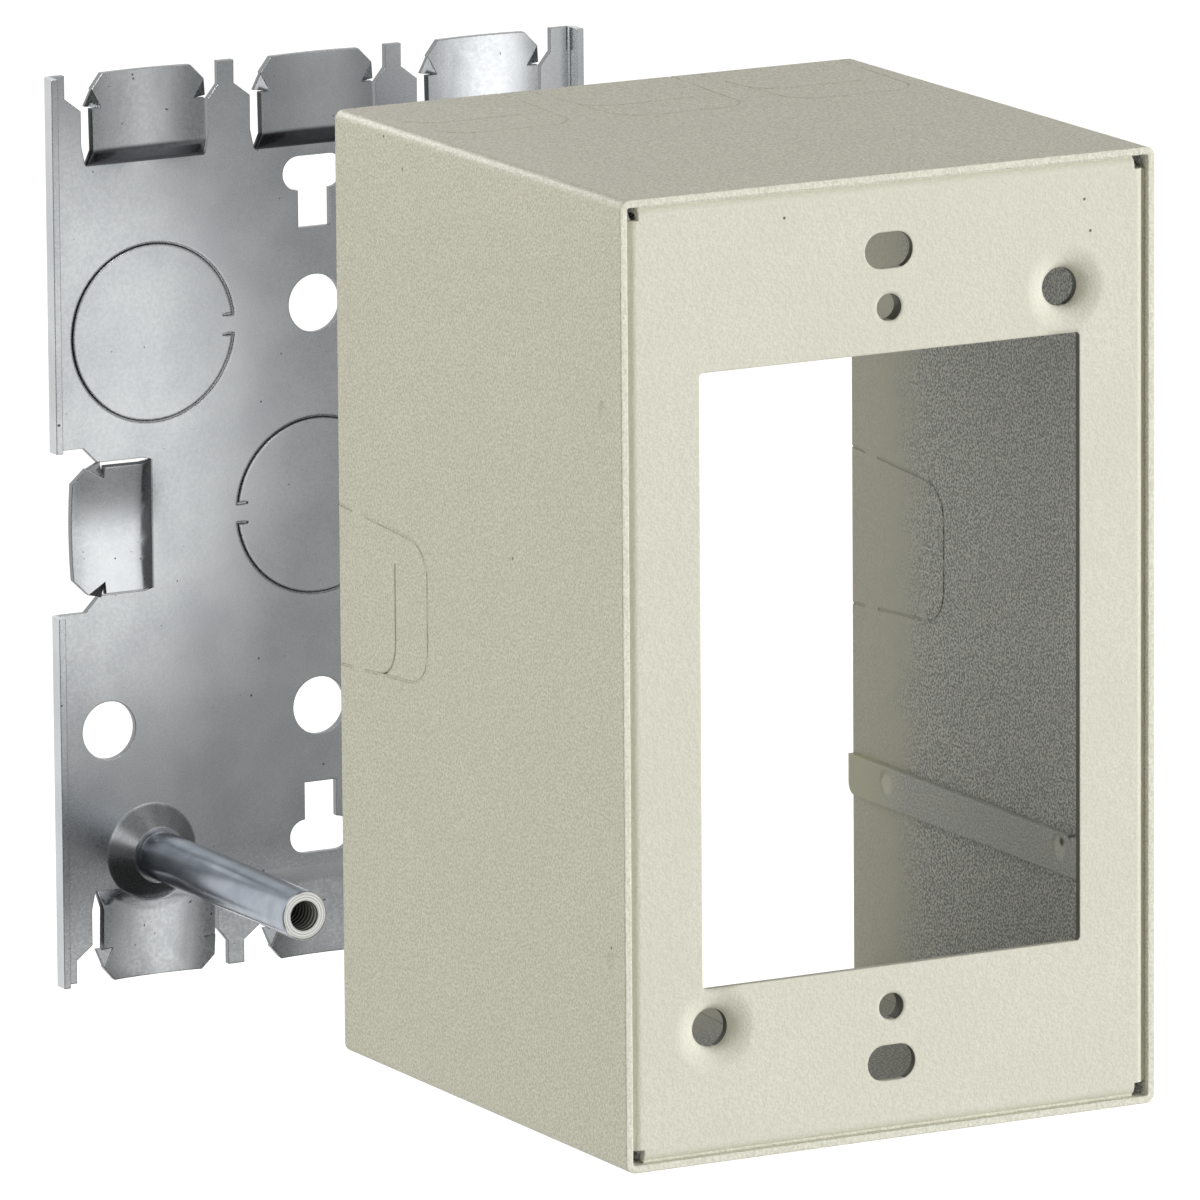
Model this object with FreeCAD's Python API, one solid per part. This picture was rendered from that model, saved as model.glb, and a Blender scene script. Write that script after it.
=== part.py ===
import FreeCAD, Part
import os
from math import asin, cos, sin
from FreeCAD import Vector

# A deep outlet box for surface raceway: a flanged steel base that is screwed to the wall, and a
# painted cover that drops over it. Millimetres. X is to the right, Y is into the wall, Z is up.
# The origin is the centre of the base's rear face, and the cover stands off it as it is lifted off.

# Sheet
SHEET = 0.9
SLIT = 0.28

# How far a cutter reaches past the sheet, how far joined pieces lie in each other, and how close
# a point must be to count as lying on an edge.
PAST = 2.0
OVERLAP = 0.1
NEAR = 0.01

# Cover
COVER_WIDTH = 71.2
COVER_HEIGHT = 115.0
COVER_DEPTH = 70.8
COVER_BEND = 1.2
FACE_RECESS = 0.3
FACE_FLANGE = 7.0
FACE_FIT = 0.05
FACE_BEND = 1.3
FACE_NOTCH = 1.6
OPENING_WIDTH = 50.7
OPENING_HEIGHT = 73.0
OPENING_CORNER = 0.5
OPENING_SHIFT = 0.2
OPENING_DROP = 0.2
DEVICE_HOLE_SPACING = 83.34
DEVICE_HOLE_R = 1.63
DEVICE_COLLAR_R = 2.5
DEVICE_COLLAR = 0.9
PLATE_SLOT_SPACING = 96.84
PLATE_SLOT_LENGTH = 6.35
PLATE_SLOT_WIDTH = 4.3
COVER_SCREW_X = 23.6
COVER_SCREW_Z = 41.67
DIMPLE_R = 4.9
DIMPLE_KNEE_R = 3.3
DIMPLE_KNEE = 0.5
DIMPLE_DEPTH = 1.35
DIMPLE_HOLE_R = 2.3

# Twist-outs in the cover's walls
TWIST_REAR = 19.6
TWIST_FRONT = 16.8
TWIST_DEPTH = 22.4
TWIST_INNER_DEPTH = 14.2
TWIST_CORNER = 4.4
TWIST_TIE_REAR = 3.3
TWIST_TIE = 3.0
TWIST_INNER_END = 5.0
TWIST_SCORE = 0.35

# Spacing of the twist-outs, and of the tongues that stand behind them
PITCH = 23.2

# Ground strap inside the cover's right wall
STRAP_THICK = 0.9
STRAP_HEIGHT = 5.0
STRAP_Z = -30.8
STRAP_FRONT = 12.0
STRAP_REAR = 0.4
STRAP_CORNER = 1.4

# Base
BASE_WIDTH = 73.7
BASE_HEIGHT = 113.7
BASE_BEND_IN = 0.3
FLANGE_REACH = 2.0
TAB_LENGTH = 11.35
ROOT_Z = BASE_HEIGHT / 2 - TAB_LENGTH
WEB_WIDTH = 5.8
WEB_ROOT = 6.8
NECK_WIDTH = 2.2
NECK_LENGTH = 2.9
NECK_SHIFT = -0.4
SHOULDER = 1.7
SLOT_FLARE = 2.4
TAB_ROOT = 16.0
TAB_WIDTH = 15.4
SIDE_TAB_WIDTH = 15.8
TAB_END = 12.1
TAB_CHAMFER = 1.8
TAB_STEP = 0.5
TAB_SAG = 0.8
TAB_JOGGLE = 2.0
TAB_LEAN = 0.35
SIDE_ROOT_X = 23.0
SIDE_END_X = 34.1
SIDE_NOTCH_Z = 10.3
SIDE_NOTCH_X = 32.2
SIDE_SLIT = 0.35
SIDE_SLIT_END = 0.1
SIDE_SLIT_TAPER = 1.0
SIDE_CHAMFER = 1.9
BARB_OUT = 0.6
BARB_BACK = 0.9
BARB_IN = 1.4
BARB_LONG = 2.4
BARB_RISE = 0.15
BARB_THICK = 0.54

# Knockouts and holes in the base
KNOCKOUT_R = 11.1
KNOCKOUT_X = 22.4
KNOCKOUT_Z = 23.9
KNOCKOUT_TIE = 2.2
KNOCKOUT_TIE_LONG = 1.5
WALL_HOLE_R = 3.65
WALL_HOLE_Z = 25.4
WALL_HOLE_X = 29.2
KEY_STEM = 4.4
KEY_STEM_Z = ROOT_Z - 10.5
KEY_HEAD = 8.6
KEY_HEAD_Z = ROOT_Z - 5.8
KEY_HEAD_HIGH = 4.3

# Cover posts
POST_X = 23.6
POST_Z = ROOT_Z - 4.2
POST_R = 3.05
POST_LONG = 41.1
POST_BORE_R = 1.8
POST_BORE = 14.0
BOSS_R = 6.1
BOSS_TOP_R = 3.5
BOSS_HIGH = 2.3
BOSS_THINNED = 0.4
STAKE_R = 2.2
STAKE_HEAD_R = 3.1
STAKE_HEAD = 0.6
STAKE_GAP = 0.05

# The cover's place: closed it stands this far off the plate, and from there it is lifted off.
CLOSED_GAP = 1.1
LIFT_RIGHT = 7.95
LIFT_OFF = 58.1
LIFT_UP = 3.5


def box(x0, x1, y0, y1, z0, z1):
    return Part.makeBox(x1 - x0, y1 - y0, z1 - z0, Vector(x0, y0, z0))


def round_y(x, z, radius, y0, y1):
    """A round bar along Y."""
    return Part.makeCylinder(radius, y1 - y0, Vector(x, y0, z), Vector(0, 1, 0))


def sheet_xz(points, y0, y1):
    """A flat piece with the outline given as (x, z) points, between two depths."""
    corners = [Vector(x, y0, z) for x, z in points]
    face = Part.Face(Part.makePolygon(corners + corners[:1]))
    return face.extrude(Vector(0, y1 - y0, 0))


def filleted(shape, radius, wanted):
    """Rounds the edges whose middle passes the test."""
    edges = []
    for edge in shape.Edges:
        if wanted(edge.CenterOfMass):
            edges.append(edge)
    return shape.makeFillet(radius, edges)


def turned_y(shape, degrees):
    turned = shape.copy()
    turned.rotate(Vector(0, 0, 0), Vector(0, 1, 0), degrees)
    return turned


def moved(shape, x, y, z):
    placed = shape.copy()
    placed.translate(Vector(x, y, z))
    return placed


def at_corner(point, half_u, half_v, u, v):
    """True where a point lies on the upright edge at any corner of a block centred on the axis."""
    return abs(abs(point[u]) - half_u) + abs(abs(point[v]) - half_v) < NEAR


def spun(points, x, z, front):
    """Turns a closed outline of (radius, height) points about an axis along -Y."""
    corners = [Vector(x + r, front - h, z) for r, h in points]
    face = Part.Face(Part.makePolygon(corners + corners[:1]))
    return face.revolve(Vector(x, 0, z), Vector(0, 1, 0), 360)


def rounded_slab(depth, grown):
    """A slab that reaches in from the cover's rear edge, narrower at its rounded front end."""
    front = COVER_DEPTH - depth - grown
    rear = COVER_DEPTH + PAST
    slope = (TWIST_REAR - TWIST_FRONT) / 2 / TWIST_DEPTH
    wide = TWIST_REAR / 2 + slope + grown
    narrow = TWIST_REAR / 2 - slope * (depth + grown) + grown
    thick = SHEET * 2
    corners = [Vector(-narrow, front, -thick), Vector(narrow, front, -thick)]
    corners = corners + [Vector(wide, rear, -thick), Vector(-wide, rear, -thick)]
    slab = Part.Face(Part.makePolygon(corners + corners[:1])).extrude(Vector(0, 0, 2 * thick))
    end = Vector(0, front, 0)
    return filleted(slab, TWIST_CORNER + grown, lambda c: at_corner(c - end, narrow, 0, 0, 1))


def slab_line(depth):
    """The thin line cut round one such slab."""
    return rounded_slab(depth, SLIT / 2).cut(rounded_slab(depth, -SLIT / 2))


def twist_out_lines():
    """The lines of one twist-out, in the XY plane: a U cut through between two ties, and a scored one."""
    reach = TWIST_REAR
    thick = SHEET * 3
    tie_front = COVER_DEPTH - TWIST_TIE_REAR - TWIST_TIE
    ties = box(-reach, reach, tie_front, tie_front + TWIST_TIE, -thick, thick)
    outer = slab_line(TWIST_DEPTH).cut(ties)
    front = COVER_DEPTH - TWIST_INNER_DEPTH
    kept = box(-reach, TWIST_INNER_END, front - PAST, front + TWIST_CORNER, SHEET / 2 - TWIST_SCORE, thick)
    inner = slab_line(TWIST_INNER_DEPTH).common(kept)
    return outer.fuse(inner)


def on_walls(shape):
    """Copies of a cutter that lies in the XY plane, on the four walls, turned as the wrap turns."""
    top = COVER_HEIGHT / 2 - SHEET / 2
    side = COVER_WIDTH / 2 - SHEET / 2
    copies = []
    for place in (-PITCH, 0, PITCH):
        upper = moved(shape, place, 0, top)
        copies.append(upper)
        copies.append(turned_y(upper, 180))
    right = moved(shape, 0, 0, side)
    copies.append(turned_y(right, 90))
    copies.append(turned_y(right, -90))
    return copies


def tube(half_x, half_z, radius, y0, y1):
    block = box(-half_x, half_x, y0, y1, -half_z, half_z)
    return filleted(block, radius, lambda c: at_corner(c, half_x, half_z, 0, 2))


def make_cover_sleeve():
    """The four walls, folded from one strip, with the twist-outs still held by their ties."""
    outer = tube(COVER_WIDTH / 2, COVER_HEIGHT / 2, COVER_BEND, 0, COVER_DEPTH)
    hollow_x = COVER_WIDTH / 2 - SHEET
    hollow_z = COVER_HEIGHT / 2 - SHEET
    inner = tube(hollow_x, hollow_z, COVER_BEND - SHEET, -PAST, COVER_DEPTH + PAST)
    return outer.cut(inner).cut(on_walls(twist_out_lines()))


def channel(half, length, along_x):
    """A flat strip with both edges folded back, running up and down or, if asked, across."""
    rear = FACE_RECESS + FACE_FLANGE
    outer = box(-half, half, FACE_RECESS, rear, -length, length)
    front = Vector(0, FACE_RECESS, 0)
    outer = filleted(outer, FACE_BEND, lambda c: at_corner(c - front, half, 0, 0, 1))
    hollow = half - SHEET
    behind = Vector(0, FACE_RECESS + SHEET, 0)
    inner = box(-hollow, hollow, behind.y, rear + PAST, -length - PAST, length + PAST)
    inner = filleted(inner, FACE_BEND - SHEET, lambda c: at_corner(c - behind, hollow, 0, 0, 1))
    folded = outer.cut(inner)
    if along_x:
        return turned_y(folded, 90)
    return folded


def dimple(x, z):
    """The dished ring round one cover-screw hole, steeper toward the hole."""
    front = [(DIMPLE_R, 0), (DIMPLE_KNEE_R, -DIMPLE_KNEE), (DIMPLE_HOLE_R, -DIMPLE_DEPTH)]
    rear = [(DIMPLE_HOLE_R, -DIMPLE_DEPTH - SHEET), (DIMPLE_R, -SHEET)]
    return spun(front + rear, x, z, FACE_RECESS), round_y(x, z, DIMPLE_R, 0, 2 * FACE_BEND)


def plate_slot(z):
    """A round-ended slot for a cover-plate screw."""
    half = PLATE_SLOT_WIDTH / 2
    straight = PLATE_SLOT_LENGTH / 2 - half
    rear = FACE_RECESS + SHEET + PAST
    slot = box(-straight, straight, 0, rear, z - half, z + half)
    return slot.fuse([round_y(-straight, z, half, 0, rear), round_y(straight, z, half, 0, rear)])


def make_cover_face():
    """The recessed front: folded edges, the device opening, and the screw holes above and below it."""
    half_x = COVER_WIDTH / 2 - SHEET - FACE_FIT
    half_z = COVER_HEIGHT / 2 - SHEET - FACE_FIT
    upright = channel(half_x, half_z - FACE_NOTCH, False)
    across = channel(half_z, half_x - FACE_NOTCH, True)
    face = upright.fuse(across)
    edge_x = OPENING_WIDTH / 2
    edge_z = OPENING_HEIGHT / 2
    opening = box(-edge_x, edge_x, 0, FACE_FLANGE, -edge_z, edge_z)
    opening = filleted(opening, OPENING_CORNER, lambda c: at_corner(c, edge_x, edge_z, 0, 2))
    rear = FACE_RECESS + SHEET
    cutters = [moved(opening, OPENING_SHIFT, 0, -OPENING_DROP)]
    added = []
    bores = []
    for side in (-1, 1):
        cutters.append(plate_slot(side * PLATE_SLOT_SPACING / 2))
        level = side * DEVICE_HOLE_SPACING / 2
        added.append(round_y(0, level, DEVICE_COLLAR_R, rear - OVERLAP, rear + DEVICE_COLLAR))
        bores.append(round_y(0, level, DEVICE_HOLE_R, 0, rear + PAST))
        ring, hole = dimple(side * COVER_SCREW_X, side * COVER_SCREW_Z)
        cutters.append(hole)
        added.append(ring)
    return face.cut(cutters).fuse(added).cut(bores).removeSplitter()


def make_ground_strap():
    """A flat strap welded along the inside of the right wall, with its rear lower corner rounded."""
    wall = COVER_WIDTH / 2 - SHEET - FACE_FIT
    rear = COVER_DEPTH - STRAP_REAR
    low = STRAP_Z - STRAP_HEIGHT / 2
    high = STRAP_Z + STRAP_HEIGHT / 2
    strap = box(wall - STRAP_THICK, wall, STRAP_FRONT, rear, low, high)
    return filleted(strap, STRAP_CORNER, lambda c: abs(c.y - rear) < NEAR and abs(c.z - low) < NEAR)


def arc_section(width, z):
    """The tab's bowed cross-section at one height: the middle stands back from both edges."""
    half = width / 2
    radius = (half * half + TAB_SAG * TAB_SAG) / (2 * TAB_SAG)
    front = -SHEET - TAB_STEP
    near = [Vector(-half, front - TAB_SAG, z), Vector(0, front, z), Vector(half, front - TAB_SAG, z)]
    spread = asin(half / radius)
    outer = radius + SHEET
    centre = front - radius
    far = []
    for angle in (spread, 0, -spread):
        far.append(Vector(outer * sin(angle), centre + outer * cos(angle), z))
    return Part.Wire([
        Part.Arc(near[0], near[1], near[2]).toShape(),
        Part.makeLine(near[2], far[0]),
        Part.Arc(far[0], far[1], far[2]).toShape(),
        Part.makeLine(far[2], near[0]),
    ])


def flat_section(width, z):
    half = width / 2
    corners = [Vector(-half, -SHEET, z), Vector(half, -SHEET, z), Vector(half, 0, z), Vector(-half, 0, z)]
    return Part.makePolygon(corners + corners[:1])


def barb(width, length, side):
    """The nicked corner of a tab, pushed back and out so that it bites into the raceway."""
    edge = side * width / 2
    front = TAB_LEAN - SHEET - TAB_STEP - TAB_SAG
    shoulder = length - TAB_CHAMFER
    nick = shoulder - BARB_LONG
    top = Vector(edge, front, shoulder)
    inner = Vector(edge - side * BARB_IN, front + TAB_SAG / 3, nick)
    tip = Vector(edge + side * BARB_OUT, front + BARB_BACK, nick + BARB_RISE)
    face = Part.Face(Part.makePolygon([top, tip, inner, top]))
    return face.extrude(Vector(0, BARB_THICK, 0))


def tab(width, length):
    """A raceway tongue on its root line: a joggle, then a bowed blade with barbs that leans to the wall."""
    joggle = Part.makeLoft([flat_section(TAB_ROOT, 0), arc_section(width, TAB_JOGGLE)], True, True)
    blade = Part.Face(arc_section(width, TAB_JOGGLE)).extrude(Vector(0, TAB_LEAN, length - TAB_JOGGLE))
    half = width / 2
    end = TAB_END / 2
    shoulder = length - TAB_CHAMFER
    nick = shoulder - BARB_LONG
    trims = []
    for side in (-1, 1):
        clear = side * (half + 2 * BARB_OUT)
        clip = [(side * end, length), (clear, length), (clear, nick)]
        clip = clip + [(side * (half - BARB_IN), nick), (side * half, shoulder)]
        trims.append(sheet_xz(clip, -10 * SHEET, 3 * SHEET))
    barbs = [barb(width, length, side) for side in (-1, 1)]
    return joggle.fuse(blade).cut(trims).fuse(barbs)


def tabs():
    """The tongues along the top and bottom edges and one at each side."""
    upper = tab(TAB_WIDTH, TAB_LENGTH)
    pieces = []
    for place in (-PITCH, 0, PITCH):
        standing = moved(upper, place, 0, ROOT_Z)
        pieces.append(standing)
        pieces.append(turned_y(standing, 180))
    right = moved(tab(SIDE_TAB_WIDTH, SIDE_END_X - SIDE_ROOT_X), 0, 0, SIDE_ROOT_X)
    pieces.append(turned_y(right, 90))
    pieces.append(turned_y(right, -90))
    return pieces


def web(place, shift):
    """One web between two tongues, on the root line, with a narrow finger that sits off its centre."""
    root = WEB_ROOT / 2
    half = WEB_WIDTH / 2
    neck = NECK_WIDTH / 2
    high = TAB_LENGTH - NECK_LENGTH
    low = high - SHOULDER
    right = [(root, 0), (half, SLOT_FLARE), (half, low)]
    finger = [(shift + neck, high), (shift + neck, TAB_LENGTH)]
    finger = finger + [(shift - neck, TAB_LENGTH), (shift - neck, high)]
    outline = right + finger + [(-x, z) for x, z in reversed(right)]
    return moved(sheet_xz(outline, -SHEET, 0), place, 0, ROOT_Z)


def side_gap():
    """What is cut from the right edge: the notch, its chamfers and the slits along the side tongue."""
    far = BASE_WIDTH
    tongue = TAB_ROOT / 2
    line = tongue + SIDE_SLIT
    corner_x = SIDE_NOTCH_X - SIDE_CHAMFER
    upper = [(far, SIDE_NOTCH_Z), (SIDE_NOTCH_X, SIDE_NOTCH_Z), (corner_x, line)]
    upper = upper + [(SIDE_ROOT_X + SIDE_SLIT_TAPER, line), (SIDE_ROOT_X, tongue + SIDE_SLIT_END)]
    outline = upper + [(x, -z) for x, z in reversed(upper)]
    return sheet_xz(outline, -SHEET * 5, SHEET)


def flange():
    """The right edge bent forward, in profile, over the whole height."""
    flat = BASE_WIDTH / 2 - SHEET - BASE_BEND_IN
    outer = SHEET + BASE_BEND_IN
    high = BASE_HEIGHT / 2
    centre = Vector(flat, -outer, -high)
    up = Vector(0, 0, 1)
    bend = Part.makeCylinder(outer, 2 * high, centre, up)
    bend = bend.cut(Part.makeCylinder(BASE_BEND_IN, 2 * high, centre, up))
    quarter = box(flat, flat + outer, -outer, 0, -high, high)
    leaf = box(flat + BASE_BEND_IN, flat + outer, -SHEET - FLANGE_REACH, -outer, -high, high)
    return bend.common(quarter).fuse(leaf)


def knockout_line(x, z, side):
    """The round slit of one knockout, broken by its tie, which two short slits run along."""
    outer = round_y(x, z, KNOCKOUT_R + SLIT / 2, -PAST, PAST)
    ring = outer.cut(round_y(x, z, KNOCKOUT_R - SLIT / 2, -2 * PAST, 2 * PAST))
    half = KNOCKOUT_TIE / 2
    start = KNOCKOUT_R - KNOCKOUT_TIE_LONG
    gap = box(start, KNOCKOUT_R + PAST, -2 * PAST, 2 * PAST, -half, half)
    upper = box(start, KNOCKOUT_R, -PAST, PAST, half, half + SLIT)
    lower = box(start, KNOCKOUT_R, -PAST, PAST, -half - SLIT, -half)
    if side < 0:
        gap, upper, lower = [turned_y(piece, 180) for piece in (gap, upper, lower)]
    gap, upper, lower = [moved(piece, x, 0, z) for piece in (gap, upper, lower)]
    return ring.cut(gap).fuse([upper, lower])


def keyhole():
    """The upper screw slot: a narrow stem with a wide round-ended head above it."""
    half = KEY_HEAD / 2
    round_end = KEY_HEAD_HIGH / 2
    level = KEY_HEAD_Z + round_end
    stem = box(-KEY_STEM / 2, KEY_STEM / 2, -PAST, PAST, KEY_STEM_Z, level)
    head = box(round_end - half, half - round_end, -PAST, PAST, KEY_HEAD_Z, KEY_HEAD_Z + KEY_HEAD_HIGH)
    left = round_y(round_end - half, level, round_end, -PAST, PAST)
    right = round_y(half - round_end, level, round_end, -PAST, PAST)
    return stem.fuse([head, left, right])


def boss(x, z):
    """The hollow cone drawn up in the sheet, with the hole that the post is staked through."""
    neck = STAKE_R + STAKE_GAP
    under = BOSS_HIGH - SHEET
    outer = [(BOSS_R, 0), (BOSS_TOP_R, BOSS_HIGH), (neck, BOSS_HIGH)]
    inner = [(neck, under), (BOSS_TOP_R - BOSS_THINNED, under), (BOSS_R - SHEET, -SHEET), (BOSS_R, -SHEET)]
    return spun(outer + inner, x, z, -SHEET)


def make_base_plate():
    """The wall plate: webs and tongues along its ends, flanges along its sides, bosses for the posts."""
    flat = BASE_WIDTH / 2 - SHEET - BASE_BEND_IN
    plate = box(-flat, flat, -SHEET, 0, -ROOT_Z, ROOT_Z)
    webs = []
    for place in (-1.5 * PITCH, -0.5 * PITCH, 0.5 * PITCH, 1.5 * PITCH):
        webs.append(web(place, NECK_SHIFT))
        webs.append(turned_y(web(place, -NECK_SHIFT), 180))
    inside = box(-flat, flat, -SHEET, 0, -BASE_HEIGHT, BASE_HEIGHT)
    plate = plate.fuse(webs).common(inside)
    plate = plate.fuse([flange(), turned_y(flange(), 180)])
    plate = plate.cut([side_gap(), turned_y(side_gap(), 180)])
    plate = plate.fuse(tabs())
    cutters = [knockout_line(-KNOCKOUT_X, KNOCKOUT_Z, 1)]
    cutters.append(knockout_line(KNOCKOUT_X, -KNOCKOUT_Z, -1))
    cutters.append(knockout_line(0, 0, -1))
    for side in (-1, 1):
        cutters.append(round_y(0, side * WALL_HOLE_Z, WALL_HOLE_R, -PAST, PAST))
        cutters.append(round_y(side * WALL_HOLE_X, side * WALL_HOLE_Z, WALL_HOLE_R, -PAST, PAST))
        cutters.append(round_y(side * POST_X, side * POST_Z, BOSS_R - OVERLAP, -2 * PAST, PAST))
    cutters.append(keyhole())
    cutters.append(turned_y(keyhole(), 180))
    plate = plate.cut(cutters)
    return plate.fuse([boss(-POST_X, -POST_Z), boss(POST_X, POST_Z)]).removeSplitter()


def make_post(x, z):
    """A round post with a tapped bore in its tip, and a neck staked over inside the boss."""
    start = BOSS_HIGH
    tip = POST_LONG
    head = BOSS_HIGH - SHEET - STAKE_GAP
    low = head - STAKE_HEAD
    outline = [(0, low), (STAKE_HEAD_R, low), (STAKE_HEAD_R, head), (STAKE_R, head)]
    outline = outline + [(STAKE_R, start), (POST_R, start), (POST_R, tip)]
    outline = outline + [(POST_BORE_R, tip), (POST_BORE_R, tip - POST_BORE), (0, tip - POST_BORE)]
    return spun(outline, x, z, -SHEET)


def seated(shape):
    """Puts a piece of the cover in its place, lifted off the base."""
    return moved(shape, LIFT_RIGHT, -LIFT_OFF - SHEET - CLOSED_GAP - COVER_DEPTH, LIFT_UP)


def main():
    os.makedirs("parts", exist_ok=True)
    make_base_plate().exportStep("parts/base_plate.step")
    make_post(-POST_X, -POST_Z).exportStep("parts/post_lower_left.step")
    make_post(POST_X, POST_Z).exportStep("parts/post_upper_right.step")
    seated(make_cover_sleeve()).exportStep("parts/cover_sleeve.step")
    seated(make_cover_face()).exportStep("parts/cover_face.step")
    seated(make_ground_strap()).exportStep("parts/ground_strap.step")


main()
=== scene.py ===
import math

import bpy
from mathutils import Matrix, Vector


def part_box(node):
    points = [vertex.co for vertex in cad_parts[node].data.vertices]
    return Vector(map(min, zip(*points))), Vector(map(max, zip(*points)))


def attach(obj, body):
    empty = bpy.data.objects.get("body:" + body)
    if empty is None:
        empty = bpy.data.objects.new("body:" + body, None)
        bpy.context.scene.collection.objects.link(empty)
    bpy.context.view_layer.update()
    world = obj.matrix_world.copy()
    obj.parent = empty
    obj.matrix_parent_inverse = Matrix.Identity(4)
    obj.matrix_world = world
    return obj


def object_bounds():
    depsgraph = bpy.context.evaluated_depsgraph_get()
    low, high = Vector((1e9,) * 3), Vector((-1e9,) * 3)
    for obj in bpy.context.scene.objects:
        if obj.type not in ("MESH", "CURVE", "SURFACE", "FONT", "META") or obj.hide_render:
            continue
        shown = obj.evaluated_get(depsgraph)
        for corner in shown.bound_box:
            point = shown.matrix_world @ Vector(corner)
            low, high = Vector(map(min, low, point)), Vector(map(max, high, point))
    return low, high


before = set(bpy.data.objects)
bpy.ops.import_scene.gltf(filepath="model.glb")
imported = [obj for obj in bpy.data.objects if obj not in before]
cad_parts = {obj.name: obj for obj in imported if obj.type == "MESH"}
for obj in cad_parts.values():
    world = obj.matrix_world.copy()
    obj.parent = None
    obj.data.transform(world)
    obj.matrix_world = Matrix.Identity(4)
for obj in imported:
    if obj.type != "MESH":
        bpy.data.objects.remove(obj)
CAD_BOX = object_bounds()

MM = 0.001

# The part's own dimensions that the finishes and the small pieces follow, in mm. TONGUE_HALF is half
# of what a tongue and its slits take, FLANGE_X is where the side flanges' inner faces stand, and
# OPENING_REACH is how far the face's holes reach from its middle to each side.
SHEET = 0.9
PITCH = 23.2
ROOT_Z = 45.5
SIDE_ROOT_X = 23.0
TONGUE_HALF = 8.1
FLANGE_X = 35.95
POSTS = ((-23.6, 0, -41.3), (23.6, 0, 41.3))
POST_TIP_Y = -42.0
POST_BORE_R = 1.8
KNOCKOUT_R = 11.1
KNOCKOUTS = ((-22.4, 23.9, 1), (22.4, -23.9, -1), (0, 0, -1))
KNOCKOUT_TIE = 2.2
COVER_DEPTH = 70.8
OPENING_REACH = 30
TWIST_REAR = 9.8
TWIST_FRONT = 8.4
TWIST_DEPTH = 22.4
TWIST_CORNER = 4.4

# The photograph's viewpoint, in metres in the part's frame, and its lens
CAMERA_AT = Vector((-0.8425, -1.6326, 0.3714))
CAMERA_RIGHT = Vector((0.8789, -0.4769, -0.0071))
CAMERA_AHEAD = Vector((0.4655, 0.8611, -0.2046))
LENS_MM = 453.95
SENSOR_MM = 36.0

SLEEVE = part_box("cover_sleeve")
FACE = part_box("cover_face")
SLEEVE_HALF_X = (SLEEVE[1][0] - SLEEVE[0][0]) / 2
SLEEVE_HALF_Z = (SLEEVE[1][2] - SLEEVE[0][2]) / 2
MIDDLE_X = (SLEEVE[0][0] + SLEEVE[1][0]) / 2
MIDDLE_Z = (SLEEVE[0][2] + SLEEVE[1][2]) / 2
RIM_Y = SLEEVE[0][1]
REAR_Y = SLEEVE[1][1]
FACE_Y = FACE[0][1]
ROOM_MIDDLE = Vector((0, REAR_Y, MIDDLE_Z))

# The walls with twist-outs, as turns from the top, and how far each stands off its wall's middle
TWIST_OUTS = [(turn, place) for turn in (0, 180) for place in (-PITCH, 0, PITCH)]
TWIST_OUTS += [(90, 0), (-90, 0)]

# Dark specks in the coat, and the two weld marks on the left wall, in mm
SPECKS = (
    (-27.65, -72.5, 59.7),
    (-27.65, -77.2, 56.5),
    (-27.65, -104.0, 14.4),
    (-27.65, -127.6, -27.6),
    (34.2, -130.6, 55.5),
    (35.0, -130.6, 51.7),
    (-5.9, -130.6, 57.0),
)
WELDS = ((-27.65, -126.4, 35.8), (-27.65, -127.5, -29.2))

# The strap's spot welds, and the two scorched specks beside the front one, in mm
STRAP_WELDS = ((0, -111.7, -26.5), (0, -70.0, -26.8))
STRAP_SCORCHES = ((0, -114.1, -24.6), (0, -112.3, -25.8))

# The dished cover-screw holes, and the drawn ones for the device's screws, in mm
DIMPLES = ((-15.65, -130.6, -38.17), (31.55, -130.6, 45.17))
DISHES = ((7.95, -130.6, -38.17), (7.95, -130.6, 45.17))

# Settings of two nodes: a step with soft ends, and a colour mix, which has its share in socket 0,
# its two colours in 6 and 7 and its result in 2
SMOOTH = {"interpolation_type": "SMOOTHSTEP"}
COLOURS = {"data_type": "RGBA", "out": 2}


def linear(text):
    """An sRGB hex colour as linear RGBA."""
    channels = [int(text[i : i + 2], 16) / 255 for i in (1, 3, 5)]
    return [c / 12.92 if c <= 0.04045 else ((c + 0.055) / 1.055) ** 2.4 for c in channels] + [1.0]


def add(tree, kind, inputs=(), out=0, **settings):
    """Adds a node with its settings and inputs, and gives back one output, or all when out is None.

    Inputs are in the node's own order, or by name or number. A socket is linked, a hex text becomes
    a linear colour, and any other value is set.
    """
    node = tree.nodes.new("ShaderNode" + kind)
    for name, value in settings.items():
        setattr(node, name, value)
    pairs = inputs.items() if isinstance(inputs, dict) else enumerate(inputs)
    for name, value in pairs:
        if isinstance(value, bpy.types.NodeSocket):
            tree.links.new(value, node.inputs[name])
        else:
            node.inputs[name].default_value = linear(value) if isinstance(value, str) else value
    return node.outputs if out is None else node.outputs[out]


def new_material(name):
    """An empty material, its node tree, and where a point of the part is and which way it faces."""
    material = bpy.data.materials.new(name)
    material.use_nodes = True
    tree = material.node_tree
    tree.nodes.clear()
    return material, tree, add(tree, "TexCoord", out=None)


def grit(tree, place, size_mm, detail=2.0, stretch=(1, 1, 1)):
    """Noise whose lumps are about size_mm across, drawn out along the axes that stretch names."""
    spread = add(tree, "Mapping", {"Vector": place["Object"], "Scale": stretch})
    return add(tree, "TexNoise", {"Vector": spread, "Scale": 1 / (size_mm * MM), "Detail": detail})


def distance_to(tree, place, point, kept=(1, 1, 1)):
    """How far the surface is from a point given in mm, measured along the axes that kept names."""
    flat = add(tree, "VectorMath", (place["Object"], kept), operation="MULTIPLY")
    target = [c * MM * k for c, k in zip(point, kept)]
    return add(tree, "VectorMath", (flat, target), "Value", operation="DISTANCE")


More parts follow.
